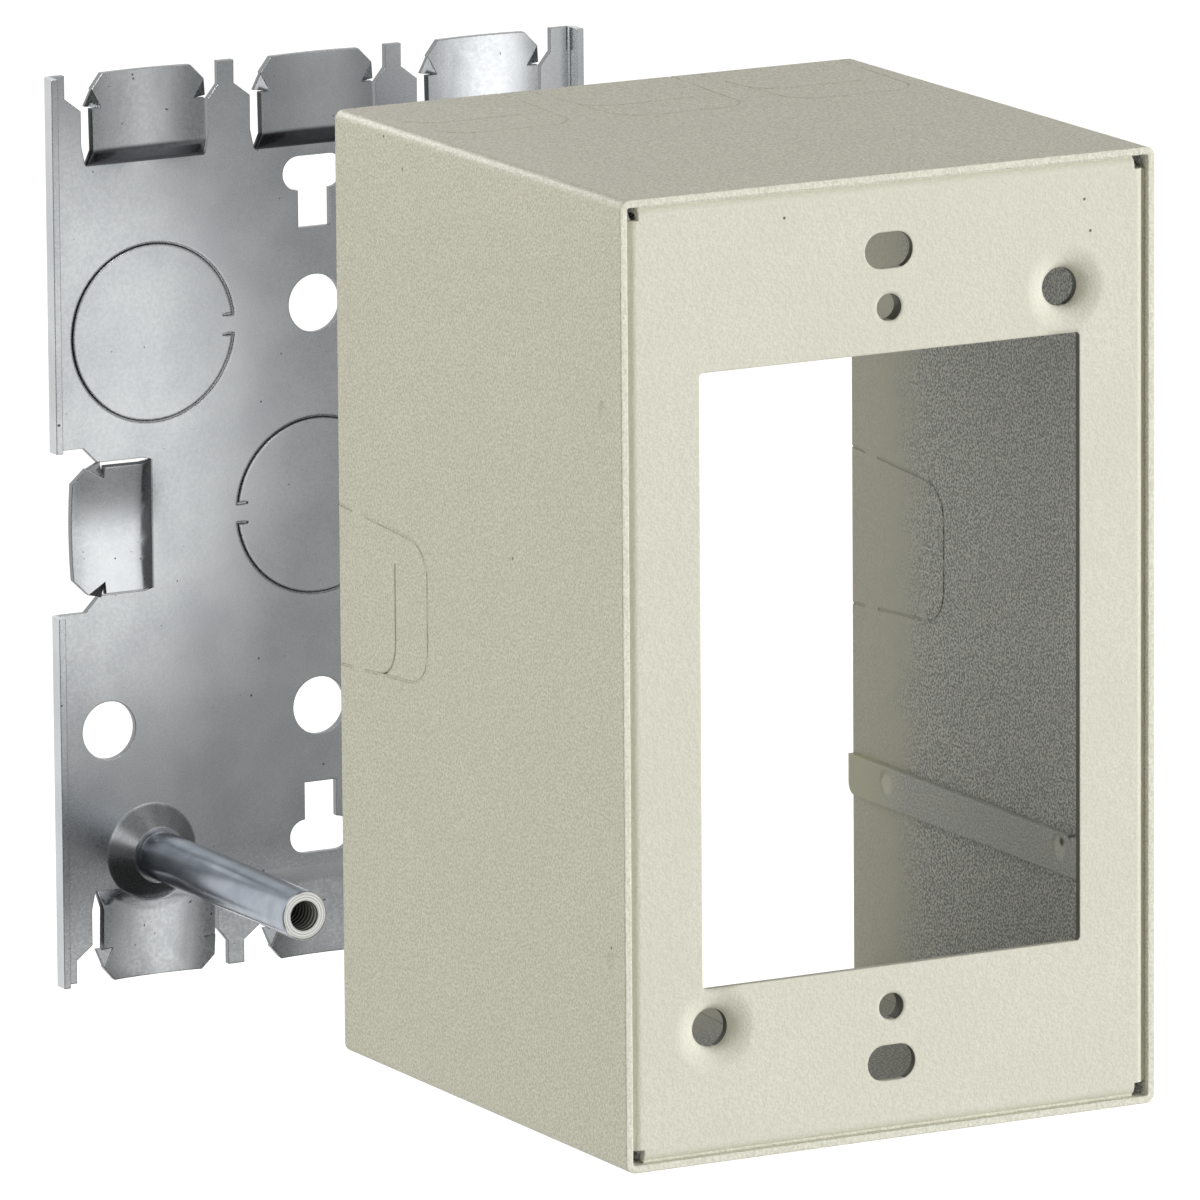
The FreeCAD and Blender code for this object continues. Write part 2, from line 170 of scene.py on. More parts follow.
def spots(tree, place, points, radius, edge, kept=(1, 1, 1)):
    """1 within radius of any of the points and 0 from edge outward, all in mm."""
    total = 0.0
    for point in points:
        away = distance_to(tree, place, point, kept)
        near = add(tree, "MapRange", (away, radius * MM, edge * MM, 1.0, 0.0), **SMOOTH)
        total = add(tree, "Math", (near, total), operation="MAXIMUM")
    return total


def band(tree, value, low, soft_low, high, soft_high):
    """1 between two limits in mm, each with its own softness."""
    rise = add(tree, "MapRange", (value, (low - soft_low) * MM, low * MM), **SMOOTH)
    fall = add(tree, "MapRange", (value, high * MM, (high + soft_high) * MM, 1.0, 0.0), **SMOOTH)
    return add(tree, "Math", (rise, fall), operation="MULTIPLY")


def inside_of_face(tree, at, facing):
    """1 on the cover face's rear side and on its flanges' inner sides, 0 elsewhere."""
    behind = add(tree, "Math", (at["Y"], FACE_Y + SHEET * MM * 1.05), operation="GREATER_THAN")
    beside = add(tree, "Math", (facing["Y"], -0.2), operation="GREATER_THAN")
    rear = add(tree, "Math", (facing["Y"], 0.5), operation="GREATER_THAN")
    both = add(tree, "Math", (behind, beside), operation="MULTIPLY")
    return add(tree, "Math", (rear, both), operation="MAXIMUM")


def inside_of_sleeve(tree, at):
    """1 on the cover walls' inner sides, 0 on their outer sides."""
    within = []
    for axis, middle, half in (("X", MIDDLE_X, SLEEVE_HALF_X), ("Z", MIDDLE_Z, SLEEVE_HALF_Z)):
        off = add(tree, "Math", (at[axis], middle), operation="SUBTRACT")
        off = add(tree, "Math", (off, 0.0), operation="ABSOLUTE")
        within.append(add(tree, "Math", (off, half - SHEET * MM * 0.6), operation="LESS_THAN"))
    behind = add(tree, "Math", (at["Y"], FACE_Y + SHEET * MM), operation="GREATER_THAN")
    inside = add(tree, "Math", within, operation="MULTIPLY")
    return add(tree, "Math", (inside, behind), operation="MULTIPLY")


def spray_reach(tree, place, at):
    """How far a point lies in from the cover's rear edge, in metres, raggedly, as spray ends."""
    cloud = add(tree, "Math", (grit(tree, place, 5.0, 6.0), 0.5), operation="SUBTRACT")
    ragged = add(tree, "Math", (cloud, 12 * MM), operation="MULTIPLY")
    straight = add(tree, "Math", (REAR_Y, at["Y"]), operation="SUBTRACT")
    return add(tree, "Math", (straight, ragged), operation="ADD")


def bare_and_shaded_cuts(tree, at, facing):
    """1 on the opening's and the holes' cut walls that face left, drawn dark: bare cut steel and painted
    shade.
    """
    middle = add(tree, "Math", (at["X"], MIDDLE_X), operation="SUBTRACT")
    middle = add(tree, "Math", (middle, 0.0), operation="ABSOLUTE")
    within = add(tree, "Math", (middle, OPENING_REACH * MM), operation="LESS_THAN")
    cut = add(tree, "Math", (facing["Y"], 0.0), operation="ABSOLUTE")
    cut = add(tree, "Math", (cut, 0.5), operation="LESS_THAN")
    left = add(tree, "Math", (facing["X"], -0.3), operation="LESS_THAN")
    cut_left = add(tree, "Math", (cut, left), operation="MULTIPLY")
    return add(tree, "Math", (within, cut_left), operation="MULTIPLY")


def coat_relief(tree, place, grain, depth_mm):
    """The coat's skin: corners rounded by the paint, most round the dished holes, welds and grain."""
    screw = add(tree, "Math", (spots(tree, place, DIMPLES, 5.2, 6.0), 1.6 * MM), operation="MULTIPLY")
    device = add(tree, "Math", (spots(tree, place, DISHES, 2.8, 3.4), 0.8 * MM), operation="MULTIPLY")
    radius = add(tree, "Math", (screw, device), operation="MAXIMUM")
    radius = add(tree, "Math", (radius, 0.3 * MM), operation="MAXIMUM")
    shape = add(tree, "Bevel", {"Radius": radius}, samples=6)
    welds = spots(tree, place, WELDS, 0.2, 1.3, (0, 1, 1))
    soft = add(tree, "Bump", {"Height": welds, "Distance": -0.35 * MM, "Strength": 1.0, "Normal": shape})
    return add(tree, "Bump", {"Height": grain, "Distance": depth_mm * MM, "Strength": 1.0, "Normal": soft})


def ivory_powder_coat(name, on_face):
    """Ivory polyester powder coat, sprayed and baked: satin, with a fine pebbled skin.

    It was sprayed from outside, so inside it thins from a full coat at the rear edge to a dust of
    specks on the grey steel. Its pebbles are about 0.6 mm across with finer ones of 0.3 mm between.
    """
    material, tree, place = new_material(name)
    at = add(tree, "SeparateXYZ", (place["Object"],), None)
    facing = add(tree, "SeparateXYZ", (place["Normal"],), None)
    inside = inside_of_face(tree, at, facing) if on_face else inside_of_sleeve(tree, at)
    # One coat drawn in two tones: lighter on the walls than on the face, as painted light on the walls,
    # whose pebble hollows also get a darker painted shade.
    light, other, dark = ("#E2E0D3", "#DFDDCF", "#D2D0C0") if on_face else ("#ECEADC", "#EAE8DA", "#C8C6B5")

    # The pebbles' hollows get a painted shade, which is lighter where the coat faces forward and inside.
    rim = add(tree, "Math", (facing["Y"], -0.5), operation="LESS_THAN")
    even = add(tree, "Math", (rim, inside), operation="MAXIMUM")
    dark = add(tree, "Mix", {0: even, 6: dark, 7: "#D8D6C6"}, **COLOURS)
    cloud = add(tree, "MapRange", (grit(tree, place, 14.0, 3.0), 0.35, 0.65), **SMOOTH)
    tone = add(tree, "Mix", {0: cloud, 6: light, 7: other}, **COLOURS)
    # Inside, the coat is painted darker and greyer: painted shade of the cover's inside.
    tone = add(tree, "Mix", {0: inside, 6: tone, 7: "#CAC8BA"}, **COLOURS)
    # Painted shade: the coat is darker where the fine pebbles sink.
    fine = grit(tree, place, 0.3)
    raised = add(tree, "MapRange", (fine, 0.3, 0.7), **SMOOTH)
    paint = add(tree, "Mix", {0: raised, 6: dark, 7: tone}, **COLOURS)
    specks = spots(tree, place, SPECKS, 0.12, 0.24)
    paint = add(tree, "Mix", {0: specks, 6: paint, 7: "#6E6C60"}, **COLOURS)

    dust = add(tree, "MapRange", (grit(tree, place, 0.3), 0.38, 0.62), **SMOOTH)
    steel = add(tree, "Mix", {0: dust, 6: "#90928F", 7: "#E4E4DE"}, **COLOURS)
    thin = add(tree, "MapRange", (spray_reach(tree, place, at), 7 * MM, 21 * MM), **SMOOTH)
    bare = add(tree, "Math", (inside, thin), operation="MULTIPLY")
    colour = add(tree, "Mix", {0: bare, 6: paint, 7: steel}, **COLOURS)
    # The cut walls that face left get a dark grey: bare cut steel and painted shade.
    if on_face:
        colour = add(tree, "Mix", {0: bare_and_shaded_cuts(tree, at, facing), 6: colour, 7: "#5C5C52"}, **COLOURS)

    pebble = grit(tree, place, 0.6)
    grain = add(tree, "Math", (fine, 0.55), operation="MULTIPLY")
    grain = add(tree, "Math", (pebble, grain), operation="ADD")
    flatter = add(tree, "MapRange", (bare, 0.0, 1.0, 1.0, 0.25), **SMOOTH)
    grain = add(tree, "Math", (grain, flatter), operation="MULTIPLY")
    normal = coat_relief(tree, place, grain, 0.05 if on_face else 0.09)
    looks = {"Base Color": colour, "Roughness": 0.48, "IOR": 1.5, "Specular IOR Level": 0.4}
    looks["Normal"] = normal
    shader = add(tree, "BsdfPrincipled", looks)
    add(tree, "OutputMaterial", (shader,), None)
    return material


def joggle_shade(tree, at, out_x, out_z, on_tongue):
    """1 in the bend at each tongue's root, where painted shade stands in for the joggle's step, and weaker
    at the side tongues.
    """
    upper = band(tree, at["Z"], ROOT_Z - 0.1, 0.1, ROOT_Z + 1.7, 0.6)
    upper = add(tree, "Math", (upper, on_tongue), operation="MULTIPLY")
    by_side = add(tree, "Math", (out_z, TONGUE_HALF * MM), operation="LESS_THAN")
    side = band(tree, out_x, SIDE_ROOT_X - 0.2, 0.1, SIDE_ROOT_X + 1.0, 2.0)
    side = add(tree, "Math", (side, by_side), operation="MULTIPLY")
    side = add(tree, "Math", (side, 0.55), operation="MULTIPLY")
    return add(tree, "Math", (upper, side), operation="MAXIMUM")


def zinc_colour(tree, place, at, facing, out_x, painted_joggle_shade):
    """Clouded zinc with pits, darker on sheared edges and bosses, with painted shade darkest in the
    tongues' bends.
    """
    cloud = add(tree, "MapRange", (grit(tree, place, 9.0, 4.0), 0.3, 0.7), **SMOOTH)
    zinc = add(tree, "Mix", {0: cloud, 6: "#CFD2D3", 7: "#C2C5C7"}, **COLOURS)
    pits = add(tree, "MapRange", (grit(tree, place, 0.9, 1.0), 0.76, 0.80), **SMOOTH)
    colour = add(tree, "Mix", {0: pits, 6: zinc, 7: "#5A5C5E"}, **COLOURS)

    beside = add(tree, "Math", (facing["Y"], 0.0), operation="ABSOLUTE")
    beside = add(tree, "Math", (beside, 0.5), operation="LESS_THAN")
    in_plate = add(tree, "Math", (out_x, (FLANGE_X - 0.05) * MM), operation="LESS_THAN")
    sheared = add(tree, "Math", (beside, in_plate), operation="MULTIPLY")
    colour = add(tree, "Mix", {0: sheared, 6: colour, 7: "#8A8C8E"}, **COLOURS)

    round_post = spots(tree, place, POSTS, 6.9, 7.6, (1, 0, 1))
    raised = add(tree, "Math", (at["Y"], -(SHEET + 0.2) * MM), operation="LESS_THAN")
    on_boss = add(tree, "Math", (round_post, raised), operation="MULTIPLY")
    colour = add(tree, "Mix", {0: on_boss, 6: colour, 7: "#B4B6B8"}, **COLOURS)
    # Painted shade in the tongues' bends, where the sheet steps.
    return add(tree, "Mix", {0: painted_joggle_shade, 6: colour, 7: "#58595C"}, **COLOURS)


def knockout_edges(tree, place):
    """The radius that the sheet's corners are rounded by, in metres: crisper along the knockouts' cuts."""
    ring = 1.0
    for x, z, side in KNOCKOUTS:
        away = distance_to(tree, place, (x, 0, z), (1, 0, 1))
        off = add(tree, "Math", (away, KNOCKOUT_R * MM), operation="SUBTRACT")
        off = add(tree, "Math", (off, 0.0), operation="ABSOLUTE")
        ring = add(tree, "Math", (ring, off), operation="MINIMUM")
    return add(tree, "MapRange", (ring, 0.8 * MM, 1.2 * MM, 0.4 * MM, 0.18 * MM), **SMOOTH)


def galvanised_steel():
    """Galvanised low-carbon sheet, rolled and stamped: bright grey zinc with a fine grain and a few pits.

    The real grain is under 0.1 mm. It is drawn at 0.16 mm, with streaks of 0.35 mm along the tongues,
    so that it shows.
    """
    material, tree, place = new_material("galvanised_steel")
    at = add(tree, "SeparateXYZ", (place["Object"],), None)
    facing = add(tree, "SeparateXYZ", (place["Normal"],), None)
    out_x = add(tree, "Math", (at["X"], 0.0), operation="ABSOLUTE")
    out_z = add(tree, "Math", (at["Z"], 0.0), operation="ABSOLUTE")
    across = add(tree, "Math", (out_x, PITCH / 2 * MM), operation="PINGPONG")
    on_tongue = add(tree, "Math", (across, TONGUE_HALF * MM), operation="LESS_THAN")
    painted_joggle_shade = joggle_shade(tree, at, out_x, out_z, on_tongue)
    colour = zinc_colour(tree, place, at, facing, out_x, painted_joggle_shade)

    past_root = add(tree, "MapRange", (out_z, ROOT_Z * MM, (ROOT_Z + 2) * MM), **SMOOTH)
    on_blade = add(tree, "Math", (on_tongue, past_root), operation="MULTIPLY")
    rolled = grit(tree, place, 0.35, 3.0, (1.0, 1.0, 0.06))
    share = add(tree, "MapRange", (on_blade, 0.0, 1.0, 0.05, 0.6), **SMOOTH)
    streak = add(tree, "Math", (rolled, share), operation="MULTIPLY")
    mottle = grit(tree, place, 0.5, 3.0)
    rough = add(tree, "MapRange", (mottle, 0.3, 0.7, 0.25, 0.31), **SMOOTH)
    height = add(tree, "Math", (mottle, 0.5), operation="MULTIPLY")
    height = add(tree, "Math", (grit(tree, place, 0.16), height), operation="ADD")
    height = add(tree, "Math", (height, streak), operation="ADD")
    edges = add(tree, "Bevel", {"Radius": knockout_edges(tree, place)}, samples=6)
    normal = add(tree, "Bump", {"Height": height, "Distance": 0.003 * MM, "Strength": 1.0, "Normal": edges})
    looks = {"Base Color": colour, "Metallic": 1.0, "Roughness": rough, "Normal": normal}
    shader = add(tree, "BsdfPrincipled", looks)
    add(tree, "OutputMaterial", (shader,), None)
    return material


def zinc_plated_post():
    """Turned free-cutting steel with clear zinc plate: smooth and bluish, with faint lathe rings.

    The bore's thread has a pitch of 0.8 mm and is drawn as rings of painted shade and painted highlight.
    The tool marks, under 0.1 mm apart on the real post, are drawn at 0.14 mm along it and 0.34 mm on its
    faced tip, so that they show.
    """
    material, tree, place = new_material("zinc_plated_post")
    at = add(tree, "SeparateXYZ", (place["Object"],), None)
    facing = add(tree, "SeparateXYZ", (place["Normal"],), None)
    cloud = grit(tree, place, 3.0, 3.0)
    patches = add(tree, "MapRange", (cloud, 0.3, 0.7), **SMOOTH)
    colour = add(tree, "Mix", {0: patches, 6: "#B2B8C1", 7: "#A0A7B1"}, **COLOURS)

    from_axes = [distance_to(tree, place, post, (1, 0, 1)) for post in POSTS]
    radius = add(tree, "Math", from_axes, operation="MINIMUM")
    # The thread as rings of colour: painted shade in its roots and painted highlight on its crests.
    turns = add(tree, "Math", (at["Y"], math.tau / (0.8 * MM)), operation="MULTIPLY")
    turns = add(tree, "Math", (turns, 0.0), operation="SINE")
    thread_light_and_shade = add(tree, "MapRange", (turns, -0.4, 0.8), **SMOOTH)
    thread = add(tree, "Mix", {0: thread_light_and_shade, 6: "#6A6A68", 7: "#E6E6E2"}, **COLOURS)
    in_bore = add(tree, "Math", (radius, (POST_BORE_R + 0.06) * MM), operation="LESS_THAN")
    colour = add(tree, "Mix", {0: in_bore, 6: colour, 7: thread}, **COLOURS)

    forward = add(tree, "MapRange", (facing["Y"], -0.6, -0.9), **SMOOTH)
    at_end = add(tree, "Math", (at["Y"], (POST_TIP_Y + 0.5) * MM), operation="LESS_THAN")
    on_tip = add(tree, "Math", (forward, at_end), operation="MULTIPLY")
    groove = add(tree, "Math", (radius, math.tau / (0.34 * MM)), operation="MULTIPLY")
    groove = add(tree, "Math", (groove, 0.0), operation="SINE")
    groove = add(tree, "MapRange", (groove, -1.0, 1.0), **SMOOTH)
    cut = add(tree, "Mix", {0: groove, 6: "#C9C9C4", 7: "#EDEDEA"}, **COLOURS)
    colour = add(tree, "Mix", {0: on_tip, 6: colour, 7: cut}, **COLOURS)

    tip_metal = add(tree, "MapRange", (on_tip, 0.0, 1.0, 1.0, 0.8), **SMOOTH)
    bore_metal = add(tree, "MapRange", (in_bore, 0.0, 1.0, 1.0, 0.0), **SMOOTH)
    metal = add(tree, "Math", (tip_metal, bore_metal), operation="MULTIPLY")
    height = add(tree, "Math", (cloud, 1.5), operation="MULTIPLY")
    height = add(tree, "Math", (grit(tree, place, 0.14, 2.0, (0.05, 1.0, 0.05)), height), operation="ADD")
    normal = add(tree, "Bump", {"Height": height, "Distance": 0.004 * MM, "Strength": 1.0})
    looks = {"Base Color": colour, "Metallic": metal, "Roughness": 0.22, "Normal": normal}
    shader = add(tree, "BsdfPrincipled", looks)
    add(tree, "OutputMaterial", (shader,), None)
    return material


def oversprayed_strap():
    """The strap's mill-finished steel, coated at its rear end and dusted with paint further in."""
    material, tree, place = new_material("oversprayed_strap")
    at = add(tree, "SeparateXYZ", (place["Object"],), None)
    dust = add(tree, "MapRange", (grit(tree, place, 0.28), 0.36, 0.66), **SMOOTH)
    steel = add(tree, "Mix", {0: dust, 6: "#B2B4B1", 7: "#DCDCD6"}, **COLOURS)
    thin = add(tree, "MapRange", (spray_reach(tree, place, at), 6 * MM, 16 * MM), **SMOOTH)
    colour = add(tree, "Mix", {0: thin, 6: "#D6D5C0", 7: steel}, **COLOURS)
    welded = spots(tree, place, STRAP_WELDS, 0.9, 1.9, (0, 1, 1))
    pale = add(tree, "Math", (welded, 0.5), operation="MULTIPLY")
    colour = add(tree, "Mix", {0: pale, 6: colour, 7: "#F0EEE2"}, **COLOURS)
    scorched = spots(tree, place, STRAP_SCORCHES, 0.2, 0.8, (0, 1, 1))
    colour = add(tree, "Mix", {0: scorched, 6: colour, 7: "#4E4D48"}, **COLOURS)
    dent = add(tree, "Bump", {"Height": welded, "Distance": -0.3 * MM, "Strength": 1.0})
    skin = {"Height": grit(tree, place, 0.4, 3.0), "Distance": 0.03 * MM, "Strength": 0.8, "Normal": dent}
    looks = {"Base Color": colour, "Roughness": 0.5, "Normal": add(tree, "Bump", skin)}
    shader = add(tree, "BsdfPrincipled", looks)
    add(tree, "OutputMaterial", (shader,), None)
    return material


def crisp_edges(node, width_mm):
    """Joins the CAD faces and breaks the sharp edges a little, as stamping, plating or paint does."""
    weld = node.modifiers.new("joined_faces", "WELD")
    weld.merge_threshold = 0.01 * MM
    flat = node.modifiers.new("whole_flats", "DECIMATE")
    flat.decimate_type = "DISSOLVE"
    flat.angle_limit = math.radians(0.5)
    bevel = node.modifiers.new("broken_edges", "BEVEL")
    bevel.width = width_mm * MM
    bevel.segments = 2
    bevel.limit_method = "ANGLE"
    bevel.angle_limit = math.radians(40)
    bevel.harden_normals = False
    even = node.modifiers.new("even_shading", "WEIGHTED_NORMAL")
    even.weight = 100
    even.keep_sharp = True


def dress():
    """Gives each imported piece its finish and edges, and adds the small pieces that ride on them."""
    zinc = galvanised_steel()
    walls = ivory_powder_coat("ivory_powder_coat_walls", False)
    face = ivory_powder_coat("ivory_powder_coat_face", True)
    strap = oversprayed_strap()
    post = zinc_plated_post()
    finishes = {
        "base_plate": (zinc, 0.07),
        "cover_sleeve": (walls, 0.12),
        "cover_face": (face, 0.1),
        "ground_strap": (strap, 0.08),
        "post_lower_left": (post, 0.25),
        "post_upper_right": (post, 0.25),
    }
    for name, (material, edge) in finishes.items():
        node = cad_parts[name]
        node.data.materials.clear()
        node.data.materials.append(material)
        crisp_edges(node, edge)
    for number, (x, z, side) in enumerate(KNOCKOUTS):
        sheared_land("knockout_land_%d" % number, x, z, side, zinc)
    for number in range(4):
        closed_mesh("joint_bead_%d" % number, joint_bead(number), False, walls, "cover")
    for number, (turn, place) in enumerate(TWIST_OUTS):
        bridged_slit("twist_out_land_%d" % number, turn, place, number, walls)


def closed_mesh(name, stations, looped, material, body):
    """A solid swept through stations of four corners each, in mm, that rides on a body."""
    corners = [corner for station in stations for corner in station]
    count = len(stations)
    faces = []
    for i in range(count if looped else count - 1):
        j = (i + 1) % count
        for k in range(4):
            m = (k + 1) % 4
            faces.append((4 * i + k, 4 * j + k, 4 * j + m, 4 * i + m))
    if not looped:
        last = 4 * (count - 1)
        faces.append((0, 1, 2, 3))
        faces.append((last + 3, last + 2, last + 1, last))
    mesh = bpy.data.meshes.new(name)
    mesh.from_pydata([[c * MM for c in corner] for corner in corners], [], faces)
    mesh.materials.append(material)
    solid = bpy.data.objects.new(name, mesh)
    bpy.context.scene.collection.objects.link(solid)
    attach(solid, body)


def sheared_land(name, x, z, side, material):
    """The land that a knockout's cut leaves half way through the sheet, all round and beside its tie."""
    section = ((-0.2, -0.45), (0.2, -0.85), (0.2, -0.2), (-0.2, -0.2))
    steps = 72
    stations = []
    for step in range(steps):
        angle = math.tau * step / steps
        ring = []
        for radius, y in section:
            reach = KNOCKOUT_R + radius
            ring.append((x + reach * math.cos(angle), y, z + reach * math.sin(angle)))
        stations.append(ring)
    closed_mesh(name + "_ring", stations, True, material, "base")

    front, rear = -0.55, -0.2
    low = z - KNOCKOUT_TIE / 2 - 0.33
    high = z + KNOCKOUT_TIE / 2 + 0.33
    block = []
    for reach in (KNOCKOUT_R - 1.7, KNOCKOUT_R + 0.1):
        along = x + side * reach
        block.append([(along, front, low), (along, front, high), (along, rear, high), (along, rear, low)])
    closed_mesh(name + "_tie", block, False, material, "base")


def joint_bead(number):
    """The coat that has run into the joint between the face's bend and the sleeve, along one side."""
    section = ((-0.36, 0.8), (0.02, 0.8), (0.02, 1.1), (-0.36, 1.1))
    corner = 1.75
    angle = math.radians(90 * number)
    half_x = SLEEVE_HALF_X / MM - SHEET
    half_z = SLEEVE_HALF_Z / MM - SHEET
    out, along = (half_x, half_z) if number % 2 == 0 else (half_z, half_x)
    stations = []
    for end in (-1, 1):
        ring = []
        for off, y in section:
            u, v = out + off, end * (along - corner)
            x = MIDDLE_X / MM + u * math.cos(angle) - v * math.sin(angle)
            z = MIDDLE_Z / MM + u * math.sin(angle) + v * math.cos(angle)
            ring.append((x, RIM_Y / MM + y, z))
        stations.append(ring)
    return stations


def twist_out_line():
    """The middle line of a twist-out's slit, as (across, back from the rim, way out) in its wall."""
    slope = (TWIST_REAR - TWIST_FRONT) / TWIST_DEPTH
    lean = math.atan(slope)
    front = COVER_DEPTH - TWIST_DEPTH
    centre = TWIST_FRONT + slope * TWIST_CORNER - TWIST_CORNER / math.cos(lean)
    arc = []
    for step in range(9):
        angle = -lean - (math.pi / 2 - lean) * step / 8
        across = centre + TWIST_CORNER * math.cos(angle)
        arc.append((across, front + TWIST_CORNER * (1 + math.sin(angle)), angle))
    leg = []
    for step in range(6):
        share = step / 6
        across = TWIST_REAR + (arc[0][0] - TWIST_REAR) * share
        leg.append((across, COVER_DEPTH + (arc[0][1] - COVER_DEPTH) * share, -lean))
    cross = [(arc[-1][0] * (1 - step / 3), front, -math.pi / 2) for step in (1, 2, 3)]
    line = leg + arc + cross
    return line + [(-u, v, math.pi - angle) for u, v, angle in reversed(line[:-1])]


def bridged_slit(name, turn, place, number, material):
    """The coat and the sheet's sheared land that close a twist-out's slit, unevenly sunk on both sides."""
    half_slit = 0.16
    inner = 0.8
    angle = math.radians(turn)
    wall = (SLEEVE_HALF_X if turn % 180 else SLEEVE_HALF_Z) / MM
    stations = []
    for step, (u, v, way) in enumerate(twist_out_line()):
        ring = []
        low = 0.055 + 0.045 * math.sin(2.1 * number + 1.3 * step)
        for off, sunk in ((-half_slit, low), (half_slit, low), (half_slit, inner), (-half_slit, inner)):
            along = place + u + off * math.cos(way)
            depth = v + off * math.sin(way)
            out = wall - sunk
            x = MIDDLE_X / MM + along * math.cos(angle) + out * math.sin(angle)
            z = MIDDLE_Z / MM - along * math.sin(angle) + out * math.cos(angle)
            ring.append((x, RIM_Y / MM + min(depth, COVER_DEPTH), z))
        stations.append(ring)
    closed_mesh(name, stations, False, material, "cover")


def make_camera():
    """The photograph's own viewpoint."""
    up = CAMERA_RIGHT.cross(CAMERA_AHEAD)
    turn = Matrix((CAMERA_RIGHT, up, -CAMERA_AHEAD)).transposed().to_4x4()
    data = bpy.data.cameras.new("photograph")
    data.lens = LENS_MM
    data.sensor_width = SENSOR_MM
    data.clip_start = 0.05
    data.clip_end = 50
    camera = bpy.data.objects.new("photograph", data)
    camera.matrix_world = Matrix.Translation(CAMERA_AT) @ turn
    bpy.context.scene.collection.objects.link(camera)
    bpy.context.scene.camera = camera


def toward(azimuth, elevation):
    """The direction from the object to a place in the room; azimuth 0 is in front, and 90 at the right."""
    turn = math.radians(azimuth)
    rise = math.radians(elevation)
    return Vector((math.sin(turn) * math.cos(rise), -math.cos(turn) * math.cos(rise), math.sin(rise)))


def soft_lamp(name, azimuth, elevation, level, size, distance, colour):
    """A square softbox turned to the object; a matt white that faces it comes out at this level."""
    data = bpy.data.lights.new(name, "AREA")
    data.size = size
    data.energy = level * math.pi ** 2 * distance ** 2
    data.color = linear(colour)[:3]
    lamp = bpy.data.objects.new(name, data)
    way = toward(azimuth, elevation)
    turned = way.to_track_quat("Z", "Y").to_matrix().to_4x4()
    lamp.matrix_world = Matrix.Translation(ROOM_MIDDLE + way * distance) @ turned
    lamp.visible_glossy = False
    bpy.context.scene.collection.objects.link(lamp)


def mirrored_card(name, corners, level):
    """A card that only mirror-like metal sees, so that the zinc shows light and dark.

    Its level is a number, or a function that adds the nodes of an uneven one.
    """
    mesh = bpy.data.meshes.new(name)
    mesh.from_pydata(corners, [], [tuple(range(len(corners)))])
    card = bpy.data.objects.new(name, mesh)
    bpy.context.scene.collection.objects.link(card)
    material, tree, place = new_material(name)
    strength = level(tree, place) if callable(level) else level
    shader = add(tree, "Emission", ("#FFFFFF", strength))
    add(tree, "OutputMaterial", (shader,), None)
    mesh.materials.append(material)
    card.visible_camera = False
    card.visible_diffuse = False
    card.visible_transmission = False
    card.visible_shadow = False


def upright_card(name, azimuth, turn, low, high, level):
    """A tall card in the room that covers a turn of azimuth and stands between two elevations."""
    distance = 2.5
    sides = [toward(azimuth - turn / 2, 0), toward(azimuth + turn / 2, 0)]
    heights = [math.tan(math.radians(angle)) * distance for angle in (low, high)]
    places = [(0, 0), (1, 0), (1, 1), (0, 1)]
    corners = [ROOM_MIDDLE + sides[i] * distance + Vector((0, 0, heights[j])) for i, j in places]
    mirrored_card(name, corners, level)


def level_card(name, height, near, level):
    """A level card above or below the object, whose front edge comes near to the camera."""
    half, far = 1.8, 0.3
    flat = [(-half, -near), (half, -near), (half, far), (-half, far)]
    mirrored_card(name, [ROOM_MIDDLE + Vector((x, y, height)) for x, y in flat], level)


def near_card(name, off, across, upward, level):
    """A small upright card between the base and the cover, off from the cover's rear edge, in mm."""
    left, right = across
    low, high = upward
    corners = [(left, low), (right, low), (right, high), (left, high)]
    mirrored_card(name, [Vector((x * MM, REAR_Y + off * MM, z * MM)) for x, z in corners], level)


def glow(middle, reach, inner, outer, bright, dim):
    """Light that is bright about a point and dim from an oval outward.

    The oval's half sizes are its reach in mm, and inner and outer are shares of them.
    """
    kept = (1 / reach[0], 0, 1 / reach[1])

    def strength(tree, place):
        away = distance_to(tree, place, (middle[0], 0, middle[1]), kept)
        return add(tree, "MapRange", (away, inner * MM, outer * MM, bright, dim), **SMOOTH)

    return strength


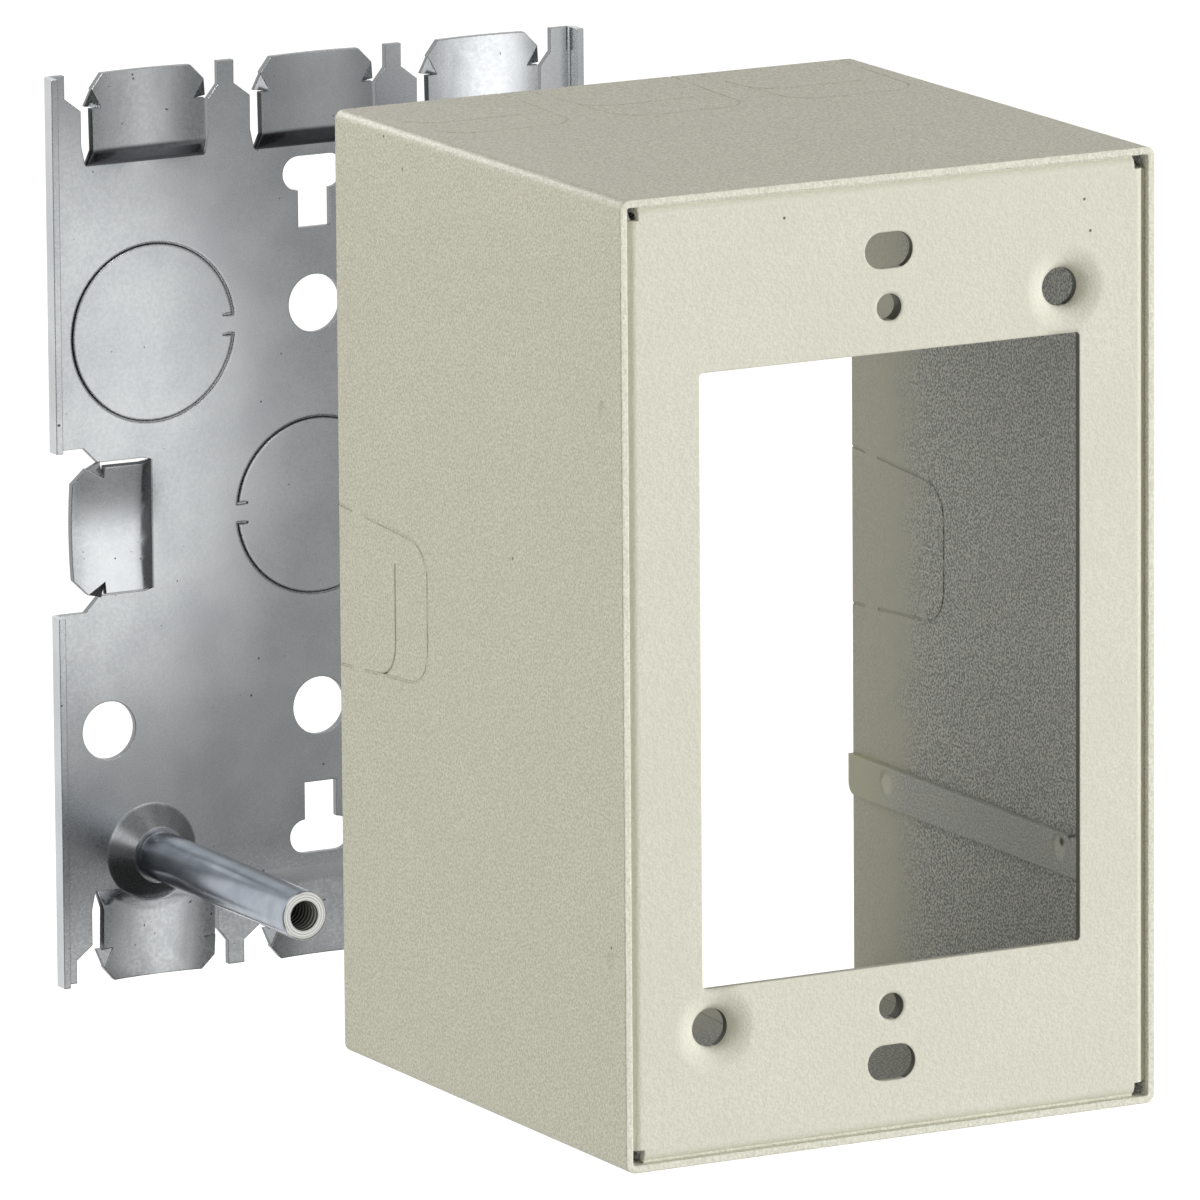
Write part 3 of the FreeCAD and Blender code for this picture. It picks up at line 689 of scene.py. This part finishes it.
def make_cards():
    """Dark all round the front but for a bright upright gap at the right, as the photograph's zinc shows.

    The small cards between base and cover give the plate its one bright cloud, each tongue its own
    upright streak, and the post's tip and the cover's upper bend their light.
    """
    upright_card("card_front_left", -75, 50, -60, 14, 0.10)
    upright_card("card_front", -19, 62, -60, 14, 0.16)
    upright_card("card_right", 71, 54, -60, 60, 0.20)
    level_card("card_above", 1.6, 2.0, 0.25)
    level_card("card_below", -0.55, 1.3, 0.03)

    by_plate = 10.0
    cloud = glow((-12, 2), (28, 41), 0.62, 1.22, 1.22, 0.38)
    near_card("card_by_plate", by_plate, (-20, 42), (-60, 56.5), cloud)
    near_card("card_by_plate_left", by_plate, (-28, -20), (-60, 56.5), 0.12)
    near_card("card_by_corner", by_plate, (55, 110), (30, 60), 0.7)
    near_card("card_by_post_tip", 16.0, (-26.5, -18.5), (-46, -37.5), 0.95)
    near_card("card_behind_bend", 40.0, (-62, -28), (74, 130), 10.0)

    by_tongues = 50.6
    streak = glow((-24, -9.7), (90, 8), 0.96, 1.28, 1.4, 0.28)
    near_card("card_by_side_tongue", by_tongues, (-31, -18.7), (-9, 4.5), streak)
    streak = glow((-19.5, 49), (3.6, 90), 0.0, 0.85, 1.0, 0.22)
    near_card("card_by_tongue_left", by_tongues, (-24.6, -13.6), (43.5, 58), streak)
    streak = glow((4.6, 49), (4.1, 90), 0.0, 0.9, 0.52, 0.3)
    near_card("card_by_tongue_middle", by_tongues, (-1.2, 9.8), (43.5, 58), streak)
    streak = glow((28.1, 49), (3.7, 90), 0.1, 0.95, 2.15, 0.36)
    near_card("card_by_tongue_right", by_tongues, (22, 33), (44.6, 58), streak)
    streak = glow((-18.8, -53), (3.1, 90), 0.0, 0.9, 1.5, 0.12)
    near_card("card_by_low_tongue", by_tongues, (-24.6, -13.6), (-61, -47.5), streak)


def seen_directly(tree):
    """1 for camera, mirror and glass rays."""
    path = add(tree, "LightPath", out=None)
    seen = add(tree, "Math", (path["Is Camera Ray"], path["Is Glossy Ray"]), operation="MAXIMUM")
    return add(tree, "Math", (seen, path["Is Transmission Ray"]), operation="MAXIMUM")


def make_surround(fill):
    """A surround that is white where it is seen, and lights the object evenly with a part of that."""
    world = bpy.data.worlds.new("white_surround")
    world.use_nodes = True
    tree = world.node_tree
    tree.nodes.clear()
    seen = seen_directly(tree)
    strength = add(tree, "MapRange", {"Value": seen, "To Min": fill, "To Max": 1.0})
    white = add(tree, "Mix", {0: seen, 6: "#FFFCF0", 7: "#FFFFFF"}, **COLOURS)
    light = add(tree, "Background", (white, strength))
    add(tree, "OutputWorld", (light,), None)
    bpy.context.scene.world = world


def make_floor(drop, lift):
    """A matt pale floor that keeps the object's faint shadow, lifted toward white where it is seen."""
    level = CAD_BOX[0][2] - drop
    reach = 12.0
    around = ((-reach, -reach), (reach, -reach), (reach, reach), (-reach, reach))
    corners = [(x, y, level) for x, y in around]
    mesh = bpy.data.meshes.new("pale_floor")
    mesh.from_pydata(corners, [], [(0, 1, 2, 3)])
    floor = bpy.data.objects.new("pale_floor", mesh)
    bpy.context.scene.collection.objects.link(floor)
    material, tree, place = new_material("pale_floor")
    matt = add(tree, "BsdfDiffuse", ("#F4F4F2",))
    lifted = add(tree, "Math", (seen_directly(tree), lift), operation="MULTIPLY")
    shine = add(tree, "Emission", ("#FFFFFF", lifted))
    shader = add(tree, "AddShader", (matt, shine))
    add(tree, "OutputMaterial", (shader,), None)
    floor.data.materials.append(material)
    floor.visible_glossy = False


dress()
make_camera()
make_surround(fill=0.27)
make_floor(drop=0.06, lift=0.78)
soft_lamp("key_softbox", 55, 3, level=1.47, size=1.0, distance=2.5, colour="#FAFCFF")
soft_lamp("left_softbox", -96, 25, level=0.50, size=0.8, distance=0.6, colour="#FFFEF8")
make_cards()
bpy.context.scene.view_settings.view_transform = "Standard"
